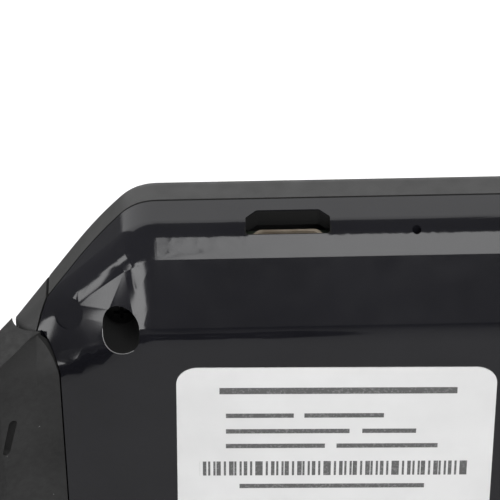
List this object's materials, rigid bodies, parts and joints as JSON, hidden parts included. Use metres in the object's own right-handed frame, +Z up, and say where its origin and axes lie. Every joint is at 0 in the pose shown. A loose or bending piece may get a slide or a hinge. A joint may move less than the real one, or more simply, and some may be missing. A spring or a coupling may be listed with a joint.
{
  "type": "wrist-worn wireless call receiver",
  "caption": "Wrist-worn wireless call receiver: black plastic case with display, keys, charging port and rear label, on an unfastened rubber strap with a pin buckle.",
  "frame": {"origin": "middle of the bounding box in X and Y, at the surface the receiver stands on", "axes": "+X towards the six o'clock end with the keys and the strap tail; -Y the way the dial faces; +Z up, towards the long side with the charging port. The case leans back 9.9 degrees."},
  "size_m": [0.0874, 0.0804, 0.0453],
  "materials": {
    "case_plastic": "fine matte moulded texture, black",
    "back_plastic": "satin moulded black plastic with soft reflections",
    "gasket_rubber": "matte black",
    "screw_steel": "blackened",
    "lens_plastic": "clear dark window",
    "panel_glass": "dark display",
    "backlight_white": "milky white",
    "frame_plastic": "matte black",
    "key_plastic": "satin black",
    "switch_body": "black",
    "board": "green solder mask",
    "chip": "black",
    "socket_steel": "nickel plated",
    "socket_tongue": "black with contact faces",
    "battery_foil": "silver pouch",
    "foam": "black foam",
    "motor_steel": "bright",
    "tungsten": "grey",
    "buzzer_black": "black",
    "radio_can": "tinned",
    "antenna_copper": "copper",
    "plunger": "off-white",
    "label_paper": "white printed film",
    "bar_steel": "bright",
    "strap_rubber": "matte black, dusty",
    "keeper_rubber": "matte black",
    "buckle_steel": "satin black"
  },
  "bodies": {
    "case": {"front_shell": "case_plastic", "back_shell": "back_plastic", "seam_gasket": "gasket_rubber", "case_screws": "screw_steel", "display_lens": "lens_plastic", "display_panel": "panel_glass", "display_backlight": "backlight_white", "display_frame": "frame_plastic", "key_switches": "switch_body", "main_board": "board", "board_chips": "chip", "usb_socket_shell": "socket_steel", "usb_socket_tongue": "socket_tongue", "battery": "battery_foil", "battery_pad": "foam", "vibration_motor": "motor_steel", "buzzer": "buzzer_black", "radio_board": "radio_can", "antenna_loop": "antenna_copper", "reset_switch": "switch_body", "back_label": "label_paper", "spring_bar_tail": "bar_steel", "spring_bar_buckle": "bar_steel"},
    "key_left": {"key_left": "key_plastic"},
    "key_middle": {"key_middle": "key_plastic"},
    "key_right": {"key_right": "key_plastic"},
    "reset_plunger": {"reset_plunger": "plunger"},
    "motor_weight": {"motor_weight": "tungsten"},
    "strap_tail": {"strap_tail": "strap_rubber"},
    "strap_short": {"strap_buckle_side": "strap_rubber", "buckle_bar": "buckle_steel", "fixed_keeper": "keeper_rubber"},
    "loose_keeper": {"loose_keeper": "keeper_rubber"},
    "buckle_frame": {"buckle_frame": "buckle_steel"},
    "buckle_tongue": {"buckle_tongue": "buckle_steel"}
  },
  "joints": [
    {"name": "key_left_press", "type": "slide", "parent": "case", "child": "key_left", "axis": [0, 0.9852, -0.1713], "range_m": [0, 0.0004], "stiffness_N_per_m": 2500},
    {"name": "key_middle_press", "type": "slide", "parent": "case", "child": "key_middle", "axis": [0, 0.9852, -0.1713], "range_m": [0, 0.0004], "stiffness_N_per_m": 2500},
    {"name": "key_right_press", "type": "slide", "parent": "case", "child": "key_right", "axis": [0, 0.9852, -0.1713], "range_m": [0, 0.0004], "stiffness_N_per_m": 2500},
    {"name": "reset_press", "type": "slide", "parent": "case", "child": "reset_plunger", "axis": [0, -0.1713, -0.9852], "range_m": [0, 0.00025], "stiffness_N_per_m": 2000},
    {"name": "motor_spin", "type": "hinge", "parent": "case", "child": "motor_weight", "pos_m": [0.01535, -0.02826, 0.01922], "axis": [0, 0.1713, 0.9852], "continuous": true},
    {"name": "strap_tail_swing", "type": "hinge", "parent": "case", "child": "strap_tail", "pos_m": [0.02965, -0.02929, 0.02204], "axis": [0, -0.1713, -0.9852], "range_deg": [0, 30]},
    {"name": "strap_short_swing", "type": "hinge", "parent": "case", "child": "strap_short", "pos_m": [-0.02535, -0.02929, 0.02204], "axis": [0, 0.1713, 0.9852], "range_deg": [0, 30]},
    {"name": "loose_keeper_slide", "type": "hinge", "parent": "strap_short", "child": "loose_keeper", "pos_m": [-0.0001, -0.00116, 0.01715], "axis": [0, -0.1713, -0.9852], "range_deg": [-18, 10]},
    {"name": "buckle_frame_turn", "type": "hinge", "parent": "strap_short", "child": "buckle_frame", "pos_m": [-0.03305, 0.01749, 0.01391], "axis": [0, 0.1713, 0.9852], "range_deg": [-30, 40]},
    {"name": "buckle_tongue_lift", "type": "hinge", "parent": "buckle_frame", "child": "buckle_tongue", "pos_m": [-0.03305, 0.01749, 0.01391], "axis": [0, 0.1713, 0.9852], "range_deg": [0, 90]}
  ]
}
